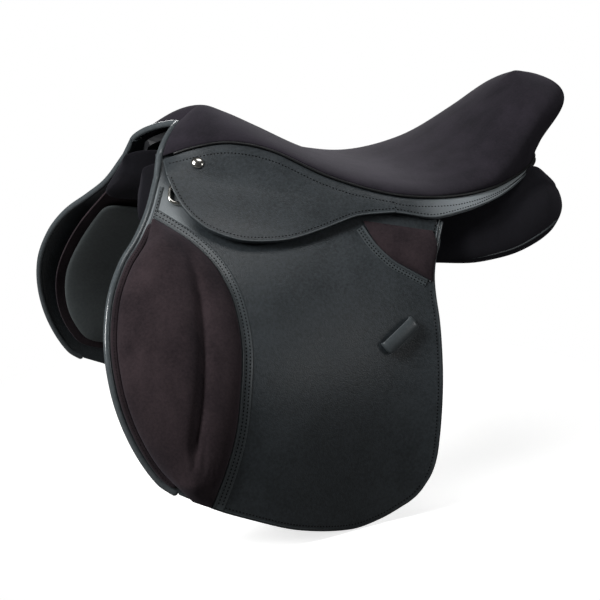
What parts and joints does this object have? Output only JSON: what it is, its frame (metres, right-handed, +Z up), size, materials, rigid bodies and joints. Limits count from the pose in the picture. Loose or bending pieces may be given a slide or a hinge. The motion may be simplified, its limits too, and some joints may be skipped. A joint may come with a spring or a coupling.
{
  "type": "all-purpose horse saddle",
  "caption": "Synthetic all-purpose riding saddle with a deep seat, knee pads, lifting flaps and skirts, stirrup bars, girth straps and stuffed panels.",
  "frame": {"origin": "on the plane of symmetry, under the deepest part of the seat, at the level of the panels' inner edges, where the back of the horse or a saddle rack carries the saddle", "axes": "+X to the rear (cantle), -X to the front (pommel), +Z up, -Y to the near (left) side"},
  "size_m": [0.5915, 0.5062, 0.4339],
  "materials": {
    "buckle_guard_near": "matt grained synthetic leather",
    "buckle_guard_off": "matt grained synthetic leather",
    "cantle_binding": "matt black synthetic leather",
    "d_ring_chape_near": "matt grained synthetic leather",
    "d_ring_chape_off": "matt grained synthetic leather",
    "d_ring_near": "nickel plated",
    "d_ring_off": "nickel plated",
    "flap_keeper_near": "matt grained synthetic leather",
    "flap_keeper_off": "matt grained synthetic leather",
    "flap_near": "matt grained synthetic leather",
    "flap_off": "matt grained synthetic leather",
    "flap_piping_near": "smooth satin synthetic leather",
    "flap_piping_off": "smooth satin synthetic leather",
    "flap_root_near": "matt grained synthetic leather",
    "flap_root_off": "matt grained synthetic leather",
    "girth_strap_front_near": "matt grained synthetic leather",
    "girth_strap_front_off": "matt grained synthetic leather",
    "girth_strap_rear_near": "matt grained synthetic leather",
    "girth_strap_rear_off": "matt grained synthetic leather",
    "girth_web_front_near": "woven webbing",
    "girth_web_front_off": "woven webbing",
    "girth_web_rear_near": "woven webbing",
    "girth_web_rear_off": "woven webbing",
    "gullet_lining": "matt black synthetic leather",
    "gullet_plate": "plain steel",
    "knee_pad_near": "synthetic suede",
    "knee_pad_off": "synthetic suede",
    "panel_lower_near": "synthetic suede",
    "panel_lower_off": "synthetic suede",
    "panel_near": "synthetic suede",
    "panel_off": "synthetic suede",
    "panel_piping_near": "smooth satin synthetic leather",
    "panel_piping_off": "smooth satin synthetic leather",
    "pommel_piping": "smooth satin synthetic leather",
    "saddle_nail_near": "nickel plated",
    "saddle_nail_off": "nickel plated",
    "seat_cover": "synthetic suede",
    "seat_foam": "open-cell foam",
    "seat_webbing": "woven webbing",
    "seat_welt": "matt black synthetic leather",
    "skirt_lobe_near": "matt grained synthetic leather",
    "skirt_lobe_off": "matt grained synthetic leather",
    "skirt_near": "matt grained synthetic leather",
    "skirt_off": "matt grained synthetic leather",
    "stirrup_bar_near": "plain steel",
    "stirrup_bar_off": "plain steel",
    "stirrup_catch_near": "plain steel",
    "stirrup_catch_off": "plain steel",
    "sweat_flap_near": "matt black synthetic leather",
    "sweat_flap_off": "matt black synthetic leather",
    "thigh_pad_near": "synthetic suede",
    "thigh_pad_off": "synthetic suede",
    "thigh_piping_near": "smooth satin synthetic leather",
    "thigh_piping_off": "smooth satin synthetic leather",
    "tree": "moulded polymer"
  },
  "bodies": {
    "saddle": {"seat_cover": "seat_cover", "seat_foam": "seat_foam", "tree": "tree", "seat_webbing": "seat_webbing", "gullet_plate": "gullet_plate", "gullet_lining": "gullet_lining", "pommel_piping": "pommel_piping", "seat_welt": "seat_welt", "cantle_binding": "cantle_binding", "flap_root_near": "flap_root_near", "skirt_near": "skirt_near", "saddle_nail_near": "saddle_nail_near", "stirrup_bar_near": "stirrup_bar_near", "sweat_flap_near": "sweat_flap_near", "panel_near": "panel_near", "panel_lower_near": "panel_lower_near", "panel_piping_near": "panel_piping_near", "girth_web_front_near": "girth_web_front_near", "girth_web_rear_near": "girth_web_rear_near", "flap_root_off": "flap_root_off", "skirt_off": "skirt_off", "saddle_nail_off": "saddle_nail_off", "stirrup_bar_off": "stirrup_bar_off", "sweat_flap_off": "sweat_flap_off", "panel_off": "panel_off", "panel_lower_off": "panel_lower_off", "panel_piping_off": "panel_piping_off", "girth_web_front_off": "girth_web_front_off", "girth_web_rear_off": "girth_web_rear_off"},
    "lifting_flap_near": {"flap_near": "flap_near", "flap_piping_near": "flap_piping_near", "thigh_piping_near": "thigh_piping_near", "knee_pad_near": "knee_pad_near", "thigh_pad_near": "thigh_pad_near", "d_ring_chape_near": "d_ring_chape_near", "flap_keeper_near": "flap_keeper_near"},
    "lifting_skirt_near": {"skirt_lobe_near": "skirt_lobe_near"},
    "dee_near": {"d_ring_near": "d_ring_near"},
    "bar_catch_near": {"stirrup_catch_near": "stirrup_catch_near"},
    "front_strap_near": {"girth_strap_front_near": "girth_strap_front_near", "buckle_guard_near": "buckle_guard_near"},
    "rear_strap_near": {"girth_strap_rear_near": "girth_strap_rear_near"},
    "lifting_flap_off": {"flap_off": "flap_off", "flap_piping_off": "flap_piping_off", "thigh_piping_off": "thigh_piping_off", "knee_pad_off": "knee_pad_off", "thigh_pad_off": "thigh_pad_off", "d_ring_chape_off": "d_ring_chape_off", "flap_keeper_off": "flap_keeper_off"},
    "lifting_skirt_off": {"skirt_lobe_off": "skirt_lobe_off"},
    "dee_off": {"d_ring_off": "d_ring_off"},
    "bar_catch_off": {"stirrup_catch_off": "stirrup_catch_off"},
    "front_strap_off": {"girth_strap_front_off": "girth_strap_front_off", "buckle_guard_off": "buckle_guard_off"},
    "rear_strap_off": {"girth_strap_rear_off": "girth_strap_rear_off"}
  },
  "joints": [
    {"name": "flap_lift_near", "type": "hinge", "parent": "saddle", "child": "lifting_flap_near", "pos_m": [-0.08514, -0.12224, 0.04847], "axis": [-0.9468, 0.2793, 0.1601], "range_deg": [0, 90]},
    {"name": "skirt_lift_near", "type": "hinge", "parent": "lifting_flap_near", "child": "lifting_skirt_near", "pos_m": [-0.08514, -0.12224, 0.04847], "axis": [-0.9468, 0.2793, 0.1601], "range_deg": [0, 55]},
    {"name": "dee_swing_near", "type": "hinge", "parent": "lifting_flap_near", "child": "dee_near", "pos_m": [-0.19707, -0.08842, 0.05827], "axis": [-0.9468, 0.2791, 0.1602], "range_deg": [0, 3]},
    {"name": "catch_turn_near", "type": "hinge", "parent": "saddle", "child": "bar_catch_near", "pos_m": [-0.065, -0.11343, 0.05903], "axis": [0.1737, 0.873, -0.4558], "range_deg": [0, 75]},
    {"name": "strap_swing_front_near", "type": "hinge", "parent": "saddle", "child": "front_strap_near", "pos_m": [-0.10315, -0.1072, 0.03207], "axis": [0.0854, -0.814, 0.5745], "range_deg": [-2, 2]},
    {"name": "strap_swing_rear_near", "type": "hinge", "parent": "saddle", "child": "rear_strap_near", "pos_m": [-0.04512, -0.12326, 0.02235], "axis": [0.0552, -0.8793, 0.4731], "range_deg": [-2, 2]},
    {"name": "flap_lift_off", "type": "hinge", "parent": "saddle", "child": "lifting_flap_off", "pos_m": [-0.08514, 0.12224, 0.04847], "axis": [0.9468, 0.2793, -0.1601], "range_deg": [0, 90]},
    {"name": "skirt_lift_off", "type": "hinge", "parent": "lifting_flap_off", "child": "lifting_skirt_off", "pos_m": [-0.08514, 0.12224, 0.04847], "axis": [0.9468, 0.2793, -0.1601], "range_deg": [0, 55]},
    {"name": "dee_swing_off", "type": "hinge", "parent": "lifting_flap_off", "child": "dee_off", "pos_m": [-0.19707, 0.08842, 0.05827], "axis": [0.9468, 0.2791, -0.1602], "range_deg": [0, 3]},
    {"name": "catch_turn_off", "type": "hinge", "parent": "saddle", "child": "bar_catch_off", "pos_m": [-0.065, 0.11343, 0.05903], "axis": [-0.1737, 0.873, 0.4558], "range_deg": [0, 75]},
    {"name": "strap_swing_front_off", "type": "hinge", "parent": "saddle", "child": "front_strap_off", "pos_m": [-0.10315, 0.1072, 0.03207], "axis": [0.0854, 0.814, 0.5745], "range_deg": [-2, 2]},
    {"name": "strap_swing_rear_off", "type": "hinge", "parent": "saddle", "child": "rear_strap_off", "pos_m": [-0.04512, 0.12326, 0.02235], "axis": [0.0552, 0.8793, 0.4731], "range_deg": [-2, 2]}
  ]
}
